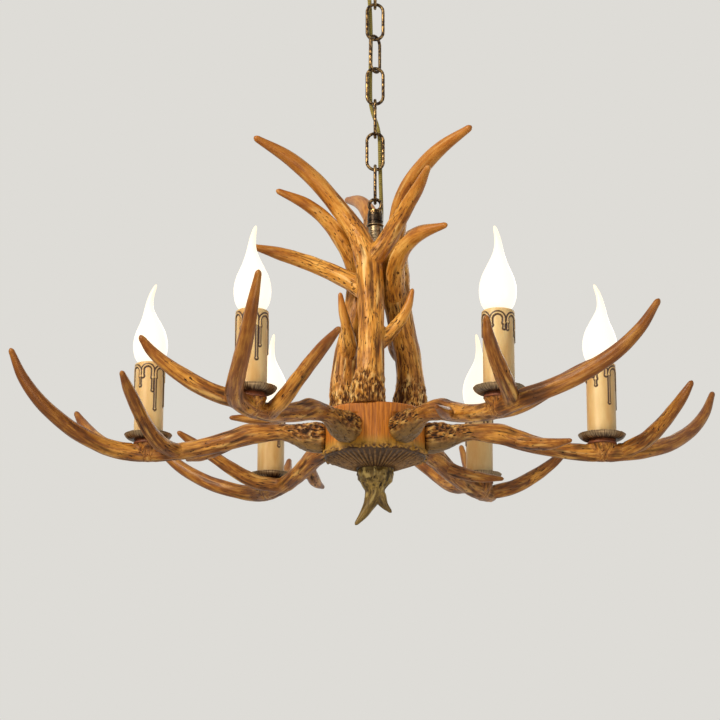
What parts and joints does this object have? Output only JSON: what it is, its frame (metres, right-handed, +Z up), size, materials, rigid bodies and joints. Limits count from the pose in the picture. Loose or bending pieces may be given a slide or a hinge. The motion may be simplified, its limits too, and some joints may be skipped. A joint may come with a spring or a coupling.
{
  "type": "antler chandelier",
  "caption": "Ceiling chandelier of cast antlers round a hub, with candle lights on drip dishes, a crown of upright antlers and a chain from a ceiling canopy.",
  "frame": {"origin": "centre of the crossbar's upper face, in the ceiling plane", "axes": "+Z up against the ceiling, +X to the right as the picture shows it, -Y towards the viewer"},
  "size_m": [0.7202, 0.7126, 0.6496],
  "materials": {
    "antler_resin": "hand-stained cast resin, pitted",
    "finial_resin": "hand-stained cast resin, pitted",
    "carved_resin": "cast resin with a wood grain",
    "dark_resin": "cast resin, stained dark",
    "antique_bronze": "antique bronze over steel",
    "dish_bronze": "antique bronze, brushed back at the rim",
    "zinc_steel": "zinc plated",
    "candle_resin": "cast resin like dripping wax",
    "black_phenolic": "moulded",
    "bulb_glass": "frosted, lit",
    "cord_fabric": "braided cover"
  },
  "bodies": {
    "ceiling_plate": {"canopy_shell": "antique_bronze", "crossbar": "zinc_steel", "canopy_nipple": "zinc_steel", "nipple_nuts": "zinc_steel", "collar_ring": "antique_bronze", "canopy_loop": "antique_bronze"},
    "link_1": {"chain_link_1": "antique_bronze", "supply_cord_1": "cord_fabric"},
    "link_2": {"chain_link_2": "antique_bronze", "supply_cord_2": "cord_fabric"},
    "link_3": {"chain_link_3": "antique_bronze", "supply_cord_3": "cord_fabric"},
    "link_4": {"chain_link_4": "antique_bronze", "supply_cord_4": "cord_fabric"},
    "link_5": {"chain_link_5": "antique_bronze", "supply_cord_5": "cord_fabric"},
    "link_6": {"chain_link_6": "antique_bronze", "supply_cord_6": "cord_fabric"},
    "link_7": {"chain_link_7": "antique_bronze", "supply_cord_7": "cord_fabric"},
    "fixture": {"supply_cord_8": "cord_fabric", "top_loop": "antique_bronze", "loop_coupling": "antique_bronze", "tie_rod": "zinc_steel", "central_tube": "antique_bronze", "hub_body": "carved_resin", "rod_nuts": "zinc_steel", "fluted_dish": "dark_resin", "finial_antler": "finial_resin", "antler_arm_1": "antler_resin", "antler_arm_2": "antler_resin", "antler_arm_3": "antler_resin", "antler_arm_4": "antler_resin", "antler_arm_5": "antler_resin", "antler_arm_6": "antler_resin", "arm_bolts": "zinc_steel", "upright_antler_1": "antler_resin", "upright_antler_2": "antler_resin", "upright_antler_3": "antler_resin", "upright_screws": "zinc_steel", "drip_dish_1": "dish_bronze", "drip_dish_2": "dish_bronze", "drip_dish_3": "dish_bronze", "drip_dish_4": "dish_bronze", "drip_dish_5": "dish_bronze", "drip_dish_6": "dish_bronze", "candle_sleeve_1": "candle_resin", "candle_sleeve_2": "candle_resin", "candle_sleeve_3": "candle_resin", "candle_sleeve_4": "candle_resin", "candle_sleeve_5": "candle_resin", "candle_sleeve_6": "candle_resin", "lampholders": "black_phenolic", "holder_stems": "zinc_steel"},
    "bulb_1": {"bulb_1": "bulb_glass"},
    "bulb_2": {"bulb_2": "bulb_glass"},
    "bulb_3": {"bulb_3": "bulb_glass"},
    "bulb_4": {"bulb_4": "bulb_glass"},
    "bulb_5": {"bulb_5": "bulb_glass"},
    "bulb_6": {"bulb_6": "bulb_glass"}
  },
  "joints": [
    {"name": "link_1_swing", "type": "hinge", "parent": "ceiling_plate", "child": "link_1", "pos_m": [0, 0, -0.0542], "axis": [1, 0, 0], "range_deg": [-12, 12], "deforming": ["supply_cord_1"]},
    {"name": "link_2_swing", "type": "hinge", "parent": "link_1", "child": "link_2", "pos_m": [0, 0, -0.0906], "axis": [0, 1, 0], "range_deg": [-12, 12], "deforming": ["supply_cord_2"]},
    {"name": "link_3_swing", "type": "hinge", "parent": "link_2", "child": "link_3", "pos_m": [0, 0, -0.1271], "axis": [1, 0, 0], "range_deg": [-12, 12], "deforming": ["supply_cord_3"]},
    {"name": "link_4_swing", "type": "hinge", "parent": "link_3", "child": "link_4", "pos_m": [0, 0, -0.1636], "axis": [0.5736, 0.8192, 0], "range_deg": [-12, 12], "deforming": ["supply_cord_4"]},
    {"name": "link_5_swing", "type": "hinge", "parent": "link_4", "child": "link_5", "pos_m": [0, 0, -0.2001], "axis": [1, 0, 0], "range_deg": [-12, 12], "deforming": ["supply_cord_5"]},
    {"name": "link_6_swing", "type": "hinge", "parent": "link_5", "child": "link_6", "pos_m": [0, 0, -0.2366], "axis": [0, 1, 0], "range_deg": [-12, 12], "deforming": ["supply_cord_6"]},
    {"name": "link_7_swing", "type": "hinge", "parent": "link_6", "child": "link_7", "pos_m": [0, 0, -0.2731], "axis": [1, 0, 0], "range_deg": [-12, 12], "deforming": ["supply_cord_7"]},
    {"name": "fixture_swing", "type": "hinge", "parent": "link_7", "child": "fixture", "pos_m": [0, 0, -0.3096], "axis": [0, 1, 0], "range_deg": [-12, 12], "deforming": ["supply_cord_8"]},
    {"name": "bulb_1_unscrew", "type": "hinge", "parent": "fixture", "child": "bulb_1", "pos_m": [0.23, 0, -0.48475], "axis": [0, 0, 1], "range_deg": [0, 900]},
    {"name": "bulb_2_unscrew", "type": "hinge", "parent": "fixture", "child": "bulb_2", "pos_m": [0.115, 0.19919, -0.48475], "axis": [0, 0, 1], "range_deg": [0, 900]},
    {"name": "bulb_3_unscrew", "type": "hinge", "parent": "fixture", "child": "bulb_3", "pos_m": [-0.115, 0.19919, -0.48475], "axis": [0, 0, 1], "range_deg": [0, 900]},
    {"name": "bulb_4_unscrew", "type": "hinge", "parent": "fixture", "child": "bulb_4", "pos_m": [-0.23, 0, -0.48475], "axis": [0, 0, 1], "range_deg": [0, 900]},
    {"name": "bulb_5_unscrew", "type": "hinge", "parent": "fixture", "child": "bulb_5", "pos_m": [-0.115, -0.19919, -0.48475], "axis": [0, 0, 1], "range_deg": [0, 900]},
    {"name": "bulb_6_unscrew", "type": "hinge", "parent": "fixture", "child": "bulb_6", "pos_m": [0.115, -0.19919, -0.48475], "axis": [0, 0, 1], "range_deg": [0, 900]}
  ]
}
